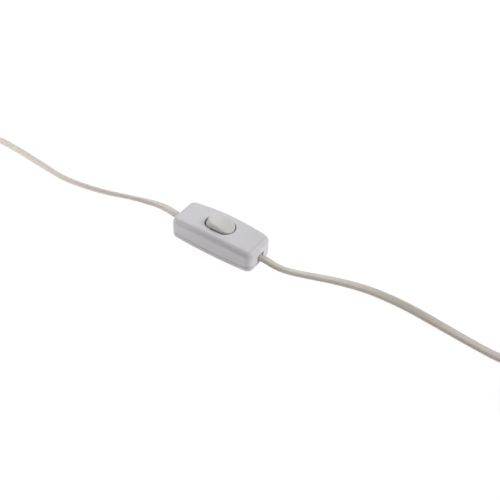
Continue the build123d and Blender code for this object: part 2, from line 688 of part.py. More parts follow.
# Connector that joins the neutral cores past the switch
with BuildPart() as neutral_connector:
    with BuildSketch(Plane((-CONNECTOR_LENGTH / 2, CONNECTOR_OFFSET, CONNECTOR_HEIGHT), z_dir=(1, 0, 0))):
        RectangleRounded(CONNECTOR_SIZE, CONNECTOR_SIZE, CONNECTOR_ROUNDING)
        Circle(CONNECTOR_BORE, mode=Mode.SUBTRACT)
    extrude(amount=CONNECTOR_LENGTH)
    with BuildSketch(Plane((0, CONNECTOR_OFFSET, CONNECTOR_HEIGHT))):
        with GridLocations(CONNECTOR_SCREW_SPAN, 0, 2, 1):
            Circle(CONNECTOR_SCREW + SCREW_PLAY / 2)
    extrude(amount=CONNECTOR_SIZE, mode=Mode.SUBTRACT)
neutral_connector.part.label = "neutral_connector"

with BuildPart() as connector_screws:
    screw_foot = NEUTRAL_HEIGHT + CONDUCTOR_RADIUS
    with BuildSketch(Plane((0, CONNECTOR_OFFSET, screw_foot))):
        with GridLocations(CONNECTOR_SCREW_SPAN, 0, 2, 1):
            Circle(CONNECTOR_SCREW)
    extrude(amount=CONNECTOR_SCREW_HEIGHT)
    with BuildSketch(Plane((0, CONNECTOR_OFFSET, screw_foot + CONNECTOR_SCREW_HEIGHT))):
        with GridLocations(CONNECTOR_SCREW_SPAN, 0, 2, 1):
            Rectangle(SCREW_SLOT, 2 * CONNECTOR_SCREW)
    extrude(amount=-SCREW_SLOT, mode=Mode.SUBTRACT)
connector_screws.part.label = "connector_screws"


def cord_clamp(name, x):
    """Clamp bar across the cord, with its two screw holes."""
    with BuildPart() as clamp:
        with BuildSketch(Plane((x, 0, CORD_TOP))):
            SlotCenterToCenter(CLAMP_SCREW_SPAN, CLAMP_WIDTH, rotation=90)
            with GridLocations(0, CLAMP_SCREW_SPAN, 1, 2):
                Circle(CLAMP_SCREW_SHANK + SCREW_PLAY, mode=Mode.SUBTRACT)
        extrude(amount=CLAMP_THICKNESS)
    clamp.part.label = name
    return clamp.part


supply_clamp = cord_clamp("supply_clamp", CLAMP_X)
lamp_clamp = cord_clamp("lamp_clamp", -CLAMP_X)

with BuildPart() as clamp_screws:
    for place in GridLocations(2 * CLAMP_X, CLAMP_SCREW_SPAN, 2, 2):
        x, y = place.position.X, place.position.Y
        add(
            slotted_screw(
                Plane((x, y, CORD_TOP + CLAMP_THICKNESS)),
                CLAMP_SCREW_HEAD,
                CLAMP_SCREW_HEAD_HEIGHT,
                CLAMP_SCREW_SHANK,
                CORD_TOP + CLAMP_THICKNESS - FLOOR - SCREW_PLAY,
            )
        )
clamp_screws.part.label = "clamp_screws"

# Cores from the sheath's end to their terminals, on the plug side and mirrored on the lamp side
LINE_END = TERMINAL_REACH + TERMINAL_END + CORE_STOP
LINE_LEVEL = STRIP_TOP + CONDUCTOR_RADIUS
NEUTRAL_END = CONNECTOR_LENGTH / 2 + CORE_STOP
LINE_CORE = [
    (SHEATH_END, -CORE_OFFSET, CORD_HEIGHT),
    (SHEATH_END - CORE_STRAIGHT, -CORE_OFFSET, CORD_HEIGHT),
    (LINE_END + LINE_RUN_IN, -TERMINAL_SIDE, LINE_LEVEL),
    (LINE_END, -TERMINAL_SIDE, LINE_LEVEL),
]
NEUTRAL_CORE = [
    (SHEATH_END, CORE_OFFSET, CORD_HEIGHT),
    (SHEATH_END - CORE_STRAIGHT, CORE_OFFSET, CORD_HEIGHT),
    (TERMINAL_REACH, CONNECTOR_OFFSET - 2 * CORE_RADIUS, CONNECTOR_HEIGHT),
    (NEUTRAL_END + NEUTRAL_RUN_IN, CONNECTOR_OFFSET, NEUTRAL_HEIGHT),
    (NEUTRAL_END, CONNECTOR_OFFSET, NEUTRAL_HEIGHT),
]


def mirrored(points):
    """Same points on the lamp side of the switch."""
    return [(-x, y, z) for x, y, z in points]


cores = {
    "supply_line_core": round_lead(LINE_CORE, CORE_RADIUS),
    "supply_neutral_core": round_lead(NEUTRAL_CORE, CORE_RADIUS),
    "lamp_line_core": round_lead(mirrored(LINE_CORE), CORE_RADIUS),
    "lamp_neutral_core": round_lead(mirrored(NEUTRAL_CORE), CORE_RADIUS),
}

with BuildPart() as bare_conductors:
    for points, stop in ((LINE_CORE, TERMINAL_REACH - TERMINAL_SHANK), (NEUTRAL_CORE, CONDUCTOR_STOP)):
        x, y, z = points[-1]
        for side in (1, -1):
            add(straight_rod((side * x, y, z), (side * stop, y, z), CONDUCTOR_RADIUS))
bare_conductors.part.label = "bare_conductors"

# Lying cords
supply_cord = flat_cord("supply_cord", SUPPLY_ROUTE)
supply_tail = flat_cord("supply_tail", SUPPLY_TAIL_ROUTE)
lamp_cord = flat_cord("lamp_cord", LAMP_ROUTE)
lamp_tail = flat_cord("lamp_tail", LAMP_TAIL_ROUTE)

# Hanks of the put-away length, each with its tie
supply_middle = (SUPPLY_HANK_START + SUPPLY_HANK_LENGTH / 2, SUPPLY_HANK_Y)
lamp_middle = (LAMP_HANK_START - LAMP_HANK_LENGTH / 2, LAMP_HANK_Y)
with BuildPart() as supply_hank:
    with BuildSketch(Plane((*supply_middle, HANK_FLOOR))):
        add(hank_outline(SUPPLY_HANK_LENGTH, SUPPLY_HANK_WIDTH, SUPPLY_HANK_WAIST))
    extrude(amount=SUPPLY_HANK_HEIGHT)
supply_hank.part.label = "supply_hank"
supply_tie = hank_tie(supply_middle, SUPPLY_HANK_WAIST, SUPPLY_HANK_HEIGHT + CORD_THICKNESS)

with BuildPart() as lamp_hank:
    with BuildSketch(Plane((*lamp_middle, HANK_FLOOR))):
        add(hank_outline(LAMP_HANK_LENGTH, LAMP_HANK_WIDTH, LAMP_HANK_WAIST))
    extrude(amount=LAMP_HANK_HEIGHT)
lamp_hank.part.label = "lamp_hank"
lamp_tie = hank_tie(lamp_middle, LAMP_HANK_WAIST, LAMP_HANK_HEIGHT)

# Flat two-pin plug with a slotted strain relief
with BuildPart() as plug_body:
    plug_end = RELIEF_LENGTH + PLUG_BODY
    shoulder = plug_end - PLUG_SHOULDER
    tip_half, root_half, body_half = CORD_WIDTH / 2 + RELIEF_WALL, RELIEF_ROOT / 2, PLUG_WIDTH / 2
    with BuildSketch(Plane((PLUG_START, SUPPLY_HANK_Y, 0))) as plug_plan:
        with BuildLine():
            Polyline(
                (0, -tip_half),
                (RELIEF_LENGTH, -root_half),
                (shoulder, -body_half),
                (plug_end, -body_half),
                (plug_end, body_half),
                (shoulder, body_half),
                (RELIEF_LENGTH, root_half),
                (0, tip_half),
                close=True,
            )
        make_face()
        corners = plug_plan.vertices().group_by(Axis.X)
        fillet(corners[1] + corners[2], PLUG_BEND)
    extrude(amount=PLUG_THICKNESS)
    thin_tip, thin_root = CORD_THICKNESS / 2 + RELIEF_WALL, RELIEF_ROOT_THICKNESS / 2
    with BuildSketch(Plane((PLUG_START, 0, PLUG_HEIGHT), x_dir=(1, 0, 0), z_dir=(0, -1, 0))) as plug_profile:
        with BuildLine():
            Polyline(
                (0, -thin_tip),
                (RELIEF_LENGTH, -thin_root),
                (shoulder, -PLUG_HEIGHT),
                (plug_end, -PLUG_HEIGHT),
                (plug_end, PLUG_HEIGHT),
                (shoulder, PLUG_HEIGHT),
                (RELIEF_LENGTH, thin_root),
                (0, thin_tip),
                close=True,
            )
        make_face()
        corners = plug_profile.vertices().group_by(Axis.X)
        fillet(corners[1] + corners[2], PLUG_BEND)
    extrude(amount=2 * PLUG_WIDTH, both=True, mode=Mode.INTERSECT)
    rims = plug_body.edges().filter_by(Axis.Y, reverse=True).filter_by(Axis.Z, reverse=True)
    fillet(rims, PLUG_ROUNDING)
    fillet(plug_body.faces().sort_by(Axis.X)[-1].edges(), PLUG_FRONT_ROUNDING)
    # Slots across the relief let it bend
    slot_floor = CORD_THICKNESS / 2 + RELIEF_SKIN
    for side in (1, -1):
        slot_middle = (PLUG_START + RELIEF_MIDDLE, SUPPLY_HANK_Y, PLUG_HEIGHT + side * slot_floor)
        with BuildSketch(Plane(slot_middle, z_dir=(0, 0, side))):
            with GridLocations(RELIEF_PITCH, 0, RELIEF_SLOTS, 1):
                Rectangle(RELIEF_SLOT_WIDTH, PLUG_WIDTH)
        extrude(amount=PLUG_THICKNESS, mode=Mode.SUBTRACT)
    for plane in PIN_PLANES:
        with BuildSketch(plane.offset(SLEEVE_CORE)):
            Circle(SLEEVE_CORE)
        extrude(amount=-PIN_ROOT - SLEEVE_CORE, mode=Mode.SUBTRACT)
plug_body.part.label = "plug_body"


def sleeved_pin(plane):
    """Pin with a thinner root for its sleeve and a rounded tip."""
    with BuildPart() as pin:
        with BuildSketch(plane.offset(-PIN_ROOT)):
            Circle(SLEEVE_CORE)
        extrude(amount=PIN_ROOT + SLEEVE_LENGTH)
        with BuildSketch(plane.offset(SLEEVE_LENGTH)):
            Circle(PIN_RADIUS)
        extrude(amount=PIN_LENGTH - SLEEVE_LENGTH)
        fillet(pin.edges().sort_by(plane_axis(plane))[-1], PIN_TIP_ROUNDING)
    return pin.part


with BuildPart() as plug_pins:
    for plane in PIN_PLANES:
        add(sleeved_pin(plane))
plug_pins.part.label = "plug_pins"

with BuildPart() as pin_sleeves:
    sleeve_start = SLEEVE_RADIUS * sin(radians(PIN_TOE_IN))
    for plane in PIN_PLANES:
        with BuildSketch(plane.offset(sleeve_start)):
            Circle(SLEEVE_RADIUS)
            Circle(SLEEVE_CORE, mode=Mode.SUBTRACT)
        extrude(amount=SLEEVE_LENGTH - sleeve_start)
pin_sleeves.part.label = "pin_sleeves"

# Stripped leads on the lamp end
with BuildPart() as lead_tips:
    leads = {}
    for name, side in (("lamp_line_lead", -1), ("lamp_neutral_lead", 1)):
        route = [Vector(*LAMP_TAIL_ROUTE[-1]) + Vector(x, side * y, z) for x, y, z in LEAD_ROUTE]
        leads[name] = round_lead(route, CORE_RADIUS)
        tip = route[-1] + (route[-1] - route[-2]).normalized() * LEAD_STRIP
        add(straight_rod(route[-1], tip, CONDUCTOR_RADIUS))
lead_tips.part.label = "lead_tips"

finished = {
    "base": base.part,
    "top_cover": top_cover.part,
    "cover_screws": cover_screws.part,
    "rocker": rocker.part,
    "plunger": plunger.part,
    "plunger_spring": plunger_spring.part,
    "contact_lever": contact_lever.part,
    "moving_contact": moving_contact.part,
    "fixed_contact": fixed_contact.part,
    "pivot_terminal": pivot_terminal.part,
    "fixed_terminal": fixed_terminal.part,
    "terminal_screws": terminal_screws.part,
    "neutral_connector": neutral_connector.part,
    "connector_screws": connector_screws.part,
    "supply_clamp": supply_clamp,
    "lamp_clamp": lamp_clamp,
    "clamp_screws": clamp_screws.part,
    "bare_conductors": bare_conductors.part,
    **cores,
    "supply_cord": supply_cord,
    "supply_hank": supply_hank.part,
    "supply_tie": supply_tie,
    "supply_tail": supply_tail,
    "lamp_cord": lamp_cord,
    "lamp_hank": lamp_hank.part,
    "lamp_tie": lamp_tie,
    "lamp_tail": lamp_tail,
    "plug_body": plug_body.part,
    "plug_pins": plug_pins.part,
    "pin_sleeves": pin_sleeves.part,
    **leads,
    "lead_tips": lead_tips.part,
}
os.makedirs("parts", exist_ok=True)
for name, piece in finished.items():
    piece.label = name
    export_step(piece, f"parts/{name}.step")
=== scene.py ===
"""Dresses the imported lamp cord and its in-line rocker switch for a studio picture."""

import json
import math

import bpy
from bpy.props import FloatProperty, FloatVectorProperty, IntProperty, PointerProperty
from bpy.types import Operator, Panel, PropertyGroup
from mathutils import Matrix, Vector


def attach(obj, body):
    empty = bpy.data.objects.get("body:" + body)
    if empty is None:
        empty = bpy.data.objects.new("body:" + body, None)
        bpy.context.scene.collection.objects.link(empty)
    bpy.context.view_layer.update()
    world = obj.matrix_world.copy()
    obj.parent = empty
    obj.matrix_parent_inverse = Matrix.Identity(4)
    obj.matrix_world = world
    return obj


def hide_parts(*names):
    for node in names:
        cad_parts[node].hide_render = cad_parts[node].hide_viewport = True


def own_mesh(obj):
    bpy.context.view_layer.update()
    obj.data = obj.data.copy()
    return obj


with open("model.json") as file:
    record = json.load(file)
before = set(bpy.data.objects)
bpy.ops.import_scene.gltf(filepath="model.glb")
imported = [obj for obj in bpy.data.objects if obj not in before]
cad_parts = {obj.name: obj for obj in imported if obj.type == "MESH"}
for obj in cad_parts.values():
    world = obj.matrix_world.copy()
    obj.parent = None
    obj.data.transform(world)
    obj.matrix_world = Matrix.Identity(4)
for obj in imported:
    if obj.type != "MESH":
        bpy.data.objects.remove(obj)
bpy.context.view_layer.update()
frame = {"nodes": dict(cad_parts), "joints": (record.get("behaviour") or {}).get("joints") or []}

bl_info = {
    "name": "Lamp Cord with Switch",
    "version": (1, 0, 0),
    "blender": (4, 5, 0),
    "location": "View3D > Sidebar > Lamp Cord",
    "description": "Cords, finishes and studio stage for a lamp cord with an in-line rocker switch",
    "category": "Object",
}

SETTINGS_PREFIX = "lamp_cord_"
ROOT_BODY = "switch"

# Points of the cords' routes: x, y, z in metres, then the roll of the flat section in degrees.
SUPPLY_LYING = (
    (0.021, 0.0, 0.0064, 0), (0.0325, 0.0, 0.0062, -4), (0.0455, 0.0, 0.0035, -20),
    (0.060, 0.0054, 0.0026, -14), (0.078, 0.0126, 0.0023, -6), (0.098, 0.0180, 0.0021, 11),
    (0.122, 0.0187, 0.0025, 36), (0.148, 0.0163, 0.0021, 14), (0.172, 0.0140, 0.0018, 2),
    (0.186, 0.0133, 0.0021, 14), (0.200, 0.0162, 0.0029, 55), (0.215, 0.0201, 0.0034, 88),
)
# The last lap of the supply hank climbs onto the others and turns back over them.
SUPPLY_CLIMB = (
    (0.271, -0.0108, 0.0090, 90), (0.259, -0.0065, 0.0090, 90), (0.247, -0.0044, 0.0092, 80),
    (0.235, -0.0064, 0.0106, 55), (0.223, -0.0108, 0.0126, 20), (0.212, -0.0120, 0.0135, 0),
    (0.204, -0.0076, 0.0135, 0), (0.2005, 0.0004, 0.0135, 0), (0.202, 0.0086, 0.0135, 0),
    (0.209, 0.0142, 0.0135, 0), (0.220, 0.0148, 0.0135, 0), (0.230, 0.0122, 0.0134, 0),
)
SUPPLY_TAIL = (
    (0.238, 0.0096, 0.0134, 0), (0.254, 0.0084, 0.0134, 0), (0.270, 0.0064, 0.0134, 0),
    (0.286, 0.0046, 0.0137, 0), (0.301, 0.0040, 0.0118, 0), (0.314, 0.0040, 0.00685, 0),
    (0.326, 0.0040, 0.00685, 0),
)
LAMP_LYING = (
    (-0.021, 0.0, 0.0066, 0), (-0.033, 0.0002, 0.0067, 2), (-0.046, 0.0034, 0.0056, 0),
    (-0.060, 0.0043, 0.0031, 22), (-0.076, 0.0003, 0.0027, 44), (-0.093, -0.0055, 0.0027, 54),
    (-0.110, -0.0089, 0.0026, 60), (-0.128, -0.0109, 0.0027, 66), (-0.148, -0.0088, 0.0028, 86),
    (-0.170, -0.0064, 0.0028, 90), (-0.190, -0.0051, 0.0028, 90), (-0.207, -0.0056, 0.0030, 90),
    (-0.222, -0.0084, 0.0033, 90),
)
LAMP_TAIL = (
    (-0.270, -0.0038, 0.0090, 70), (-0.278, -0.0070, 0.0089, 40),
    (-0.287, -0.0092, 0.0083, 10), (-0.295, -0.0092, 0.0073, 0),
)

# Where the cords leave the housing's two ends, and their real lengths, in metres.
EXIT_X = 0.031
SUPPLY_LENGTH = 1.2
LAMP_LENGTH = 0.46

# Each hank: its middle as x and y, then how far its runs reach to each side of it.
SUPPLY_HANK = ((0.247, 0.004), 0.0318)
LAMP_HANK = ((-0.2565, 0.004), 0.0257)
HANK_ROLL = 90

# Route points of a run, as shares of its reach, and their number in a half-turn.
RUN_SHARES = (-0.75, -0.375, 0.0, 0.375, 0.75)
TURN_STEPS = 6
WHOLE_TURN = (0.0, 1.0)

SECTION_STEPS = 12
WALL_STEPS = 24
WALL_CORNERS = 4
WALL_SHARP_ANGLE = math.radians(40)
SPRING_POINTS_PER_TURN = 16

# Colour sockets of Blender's Mix node, which share their names with its other kinds.
MIX_SHARE, MIX_FIRST, MIX_SECOND, MIX_RESULT = 0, 6, 7, 2

FLOOR_HALF = 4.0
FLOOR_DROP = 0.0003
PAPER_COLOUR = (0.9, 0.88, 0.875, 1)
PAPER_ROUGHNESS = 0.9
GLOW_COLOUR = (1.0, 0.94, 0.935, 1)
WHITE = (1, 1, 1, 1)
SEEN_FLOOR_STRENGTH = 1.1
SEEN_FLOOR_SHARE = 0.8
CAMERA_CLIP_START = 0.01

# Each softbox: its name, which is also that of its power, its place, its aim, its width and height.
SOFTBOXES = (
    ("overhead", (-0.32, 0.34, 0.5), (0, 0, 0.01), 0.6, 0.5),
    ("right_fill", (0.8, 0.35, 0.6), (0, 0, 0.01), 0.5, 0.5),
    ("left_fill", (-0.3, -0.2, 0.12), (-0.08, 0, 0.01), 0.25, 0.2),
)


def screen(red, green, blue):
    """Linear colour of a screen colour given in 0 to 255."""
    shares = (value / 255 for value in (red, green, blue))
    return tuple(s / 12.92 if s <= 0.04045 else ((s + 0.055) / 1.055) ** 2.4 for s in shares)


def colour_setting(name, description, *levels):
    """Colour property whose default is a screen colour."""
    return FloatVectorProperty(
        name=name, description=description, subtype="COLOR", size=3,
        min=0.0, max=1.0, default=screen(*levels),
    )


def length_setting(name, description, default):
    """Length property in metres."""
    return FloatProperty(
        name=name, description=description, default=default, unit="LENGTH", precision=5,
    )


def angle_setting(name, description, degrees):
    """Angle property whose default is given in degrees."""
    return FloatProperty(
        name=name, description=description, default=math.radians(degrees), unit="ROTATION",
    )


def power_setting(name, description, default):
    """Lamp power property in watts."""
    return FloatProperty(name=name, description=description, default=default, unit="POWER")


class CordSettings(PropertyGroup):
    """Flat cord and the two hanks that hold its put-away length."""

    width: length_setting("Width", "Width of the flat cord", 0.0054)
    thickness: length_setting("Thickness", "Thickness of the flat cord", 0.0032)
    inner_track: length_setting("Inner Track", "Radius of a hank's inner turns at its ends", 0.0132)
    outer_track: length_setting("Outer Track", "Radius of a hank's outer turns at its ends", 0.0166)
    inner_waist: length_setting("Inner Waist", "Inner turns' distance from the middle at the tie", 0.0050)
    outer_waist: length_setting("Outer Waist", "Outer turns' distance from the middle at the tie", 0.0084)
    lower_layer: length_setting("Lower Layer", "Height of the lower turns' middle", 0.0034)
    upper_layer: length_setting("Upper Layer", "Height of the upper turns' middle", 0.0090)
    sheath: colour_setting("Sheath", "Colour of the cord's sheath", 228, 221, 212)


class RockerSettings(PropertyGroup):
    """Wall that closes the rocker's raised end under its roof."""

    length: length_setting("Length", "Rocker's length at the height of its pivot", 0.0207)
    width: length_setting("Width", "Rocker's width at the height of its pivot", 0.0126)
    wall: length_setting("Wall", "Depth of the wall's inner face behind the rocker's outer face", 0.0015)
    skin: length_setting("Skin", "Depth of the wall's outer face behind the rocker's outer face", 0.00002)
    bottom: length_setting("Bottom", "Height of the wall's lower edge above the pivot", 0.0027)
    top: length_setting("Top", "Height of the wall's upper edge above the pivot", 0.00485)
    end_draft: angle_setting("End Draft", "Lean of the rocker's ends", 12)
    side_draft: angle_setting("Side Draft", "Lean of the rocker's long sides", 1)
    sweep: angle_setting("Sweep", "Part of the round end that the wall covers", 120)


class SpringSettings(PropertyGroup):
    """Coil spring between the plunger and the rocker."""

    coil: length_setting("Coil", "Radius of the coil at the middle of its wire", 0.00115)
    wire: length_setting("Wire", "Radius of the wire", 0.00025)
    room: length_setting("Room", "Length of the spring at rest", 0.0034)
    foot: length_setting("Foot", "Depth of the spring's lower end under the rocker's pivot", 0.0012)
    turns: IntProperty(name="Turns", description="Turns of the wire", default=4)
    closing: FloatProperty(
        name="Closing", description="Share by which the end turns lie closer",
        default=0.45, subtype="FACTOR",
    )


class FinishSettings(PropertyGroup):
    """Colours of the moulded, metal and insulated pieces."""

    housing: colour_setting("Housing", "Colour of the switch's two halves", 226, 224, 228)
    rocker: colour_setting("Rocker", "Colour of the rocker", 228, 227, 224)
    insulator: colour_setting("Insulator", "Colour of the plunger", 235, 232, 222)
    clamps: colour_setting("Clamps", "Colour of the cord clamps", 226, 224, 220)
    screws: colour_setting("Screws", "Colour of the screws' steel", 190, 190, 188)
    spring: colour_setting("Spring", "Colour of the spring's steel", 176, 178, 180)
    strip: colour_setting("Strip", "Colour of the stamped brass strip", 214, 178, 96)
    contacts: colour_setting("Contacts", "Colour of the contact rivets", 222, 220, 214)
    copper: colour_setting("Copper", "Colour of the bare conductors", 205, 127, 85)
    line: colour_setting("Line", "Colour of the line cores", 104, 66, 42)
    neutral: colour_setting("Neutral", "Colour of the neutral cores", 44, 92, 160)
    pins: colour_setting("Pins", "Colour of the plug's pins", 205, 204, 200)
    sleeves: colour_setting("Sleeves", "Colour of the pins' sleeves", 60, 60, 62)
    ties: colour_setting("Ties", "Colour of the hanks' ties", 70, 70, 72)


class StageSettings(PropertyGroup):
    """Camera and studio light."""

    azimuth: angle_setting("Azimuth", "Camera's turn about the vertical", 35.5)
    elevation: angle_setting("Elevation", "Camera's height above the horizon", 43.15)
    distance: length_setting("Distance", "Camera's distance from the switch", 0.55)
    lens: FloatProperty(name="Lens", description="Focal length in millimetres", default=61.2)
    shift_x: FloatProperty(name="Shift X", description="Sideways shift of the frame", default=0.0594)
    shift_y: FloatProperty(name="Shift Y", description="Upward shift of the frame", default=-0.0111)
    overhead: power_setting("Overhead", "Power of the softbox above and behind", 2.15)
    right_fill: power_setting("Right Fill", "Power of the softbox on the right", 5.6)
    left_fill: power_setting("Left Fill", "Power of the low softbox on the near left", 0.4)
    table_glow: FloatProperty(name="Table Glow", description="Light from the lit table", default=0.27)
    ambient: FloatProperty(name="Ambient", description="Light from all round", default=0.04)


def settings(context, group):
    """Property group of the scene by name."""
    return getattr(context.scene, SETTINGS_PREFIX + group)


def smooth_step(share):
    """Share eased at both ends and held within 0 to 1."""
    share = min(max(share, 0.0), 1.0)
    return share * share * (3 - 2 * share)


def oval_section(cord):
    """Hidden outline of the flat cord for the curves' bevel."""
    outline = bpy.data.curves.new("cord_section", "CURVE")
    outline.dimensions = "2D"
    spline = outline.splines.new("POLY")
    round_off = cord.thickness / 2
    flat = cord.width / 2 - round_off
    corners = []
    for side in (1, -1):
        for step in range(SECTION_STEPS + 1):
            turn = math.pi * (step / SECTION_STEPS - 0.5)
            across = flat + round_off * math.cos(turn)
            corners.append((side * across, side * round_off * math.sin(turn)))
    spline.points.add(len(corners) - 1)
    for point, (across, up) in zip(spline.points, corners):
        point.co = (across, up, 0, 1)
    spline.use_cyclic_u = True
    section = bpy.data.objects.new("cord_section", outline)
    bpy.context.collection.objects.link(section)
    section.hide_render = True
    section.hide_viewport = True
    return section


def cord_curve(name, points, section):
    """Flat cord along one smooth spline with the route's points as control points."""
    curve = bpy.data.curves.new(name, "CURVE")
    curve.dimensions = "3D"
    curve.twist_mode = "Z_UP"
    curve.resolution_u = 6
    curve.bevel_mode = "OBJECT"
    curve.bevel_object = section
    curve.use_fill_caps = True
    spline = curve.splines.new("NURBS")
    spline.points.add(len(points) - 1)
    for point, (x, y, z, roll) in zip(spline.points, points):
        point.co = (x, y, z, 1)
        point.tilt = math.radians(roll)
    spline.order_u = 3
    spline.use_endpoint_u = True
    cord = bpy.data.objects.new(name, curve)
    bpy.context.collection.objects.link(cord)
    return cord


def half_lap(hank, sense, start, end, window):
    """Points of one run along a hank's side and the half-turn after it.

    start and end are (radius, waist, height); the half-turn changes from one to the other
    in the given window of its shares. sense is 1 for a run towards +x and -1 for one back.
    """
    (middle_x, middle_y), reach = hank
    radius, waist, height = start
    points = []
    for share in RUN_SHARES:
        dip = math.cos(math.pi * share / 2) ** 2
        half_width = radius - (radius - waist) * dip
        points.append((
            middle_x + sense * share * reach, middle_y + sense * half_width, height, HANK_ROLL,
        ))
    for step in range(TURN_STEPS):
        share = (step + 0.5) / TURN_STEPS
        change = smooth_step((share - window[0]) / (window[1] - window[0]))
        track = radius + (end[0] - radius) * change
        rise = height + (end[2] - height) * change
        turn = math.pi * (0.5 - share)
        points.append((
            middle_x + sense * (reach + track * math.cos(turn)),
            middle_y + sense * track * math.sin(turn),
            rise, HANK_ROLL,
        ))
    return points


def supply_points(cord):
    """Supply cord from the switch through its hank to the plug."""
    low_outer = (cord.outer_track, cord.outer_waist, cord.lower_layer)
    low_inner = (cord.inner_track, cord.inner_waist, cord.lower_layer)
    high_inner = (cord.inner_track, cord.inner_waist, cord.upper_layer)
    high_outer = (cord.outer_track, cord.outer_waist, cord.upper_layer)
    laps = (
        (1, low_outer, low_outer, WHOLE_TURN), (-1, low_outer, low_inner, (0.65, 1.0)),
        (1, low_inner, low_inner, WHOLE_TURN), (-1, low_inner, high_inner, (0.3, 0.7)),
        (1, high_inner, high_inner, WHOLE_TURN), (-1, high_inner, high_outer, (0.0, 0.35)),
        (1, high_outer, high_outer, WHOLE_TURN),
    )
    turns = []
    for sense, start, end, window in laps:
        turns += half_lap(SUPPLY_HANK, sense, start, end, window)
    # The lying cord leads into the first run in place of that run's first point.
    return [*SUPPLY_LYING, *turns[1:], *SUPPLY_CLIMB, *SUPPLY_TAIL]


def lamp_points(cord):
    """Lamp cord from the switch through its hank to the split end."""
    low = (cord.inner_track, cord.inner_waist, cord.lower_layer)
    high = (cord.inner_track, cord.inner_waist, cord.upper_layer)
    first = half_lap(LAMP_HANK, -1, low, low, WHOLE_TURN)
    second = half_lap(LAMP_HANK, 1, low, high, (0.2, 0.9))
    last = half_lap(LAMP_HANK, -1, high, high, WHOLE_TURN)
    # The lying cord leads into the first run, and the tail leaves the last one at its middle.
    return [*LAMP_LYING, *first[1:], *second, *last[:3], *LAMP_TAIL]


def joint(name):
    """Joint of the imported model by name."""
    return next(item for item in frame["joints"] if item["name"] == name)


def end_wall(name, rocker):
    """Arched wall that follows the drafted outline of the rocker's raised end."""
    up = Vector(joint("plunger_slide")["axis"])
    outward = Vector((-up.z, 0, up.x))
    across = Vector((0, 1, 0))
    pivot = Vector(joint("rocker_tilt")["pos_m"])
    profile = (
        (rocker.bottom, rocker.skin), (rocker.top, rocker.skin),
        (rocker.top, rocker.wall), (rocker.bottom, rocker.wall),
    )
    corners = []
    for step in range(WALL_STEPS + 1):
        turn = rocker.sweep * (step / WALL_STEPS - 0.5)
        around = outward * math.cos(turn) + across * math.sin(turn)
        for level, inset in profile:
            radius = rocker.width / 2 - level * math.tan(rocker.side_draft)
            reach = rocker.length / 2 - level * math.tan(rocker.end_draft) - radius
            corners.append(pivot + up * level + outward * reach + around * (radius - inset))
    last = WALL_CORNERS * WALL_STEPS
    faces = [(0, 1, 2, 3), (last + 3, last + 2, last + 1, last)]
    for step in range(WALL_STEPS):
        for corner in range(WALL_CORNERS):
            here = WALL_CORNERS * step + corner
            after = WALL_CORNERS * step + (corner + 1) % WALL_CORNERS
            faces.append((here, here + WALL_CORNERS, after + WALL_CORNERS, after))
    mesh = bpy.data.meshes.new(name)
    mesh.from_pydata(corners, [], faces)
    mesh.shade_smooth()
    mesh.set_sharp_from_angle(angle=WALL_SHARP_ANGLE)
    wall = bpy.data.objects.new(name, mesh)
    bpy.context.collection.objects.link(wall)
    return wall


def coil_spring(name, spring, foot, up):
    """Round wire wound up from foot along up, its end turns closed, as a mesh."""
    across = up.orthogonal().normalized()
    aside = up.cross(across)
    curve = bpy.data.curves.new(name, "CURVE")
    curve.dimensions = "3D"
    curve.bevel_depth = spring.wire
    curve.use_fill_caps = True
    curve.resolution_u = 3
    spline = curve.splines.new("NURBS")
    count = SPRING_POINTS_PER_TURN * spring.turns
    spline.points.add(count)
    rise = spring.room - 2 * spring.wire
    for step, point in enumerate(spline.points):
        lap = 2 * math.pi * step / count
        height = spring.wire + rise * (lap - spring.closing * math.sin(lap)) / (2 * math.pi)
        turn = spring.turns * lap
        around = across * math.cos(turn) + aside * math.sin(turn)
        point.co = (*(foot + up * height + around * spring.coil), 1)
    spline.order_u = 3
    spline.use_endpoint_u = True
    wire = bpy.data.objects.new(name + "_wire", curve)
    mesh = bpy.data.meshes.new_from_object(wire)
    mesh.shade_smooth()
    bpy.data.objects.remove(wire)
    coil = bpy.data.objects.new(name, mesh)
    bpy.context.collection.objects.link(coil)
    return coil


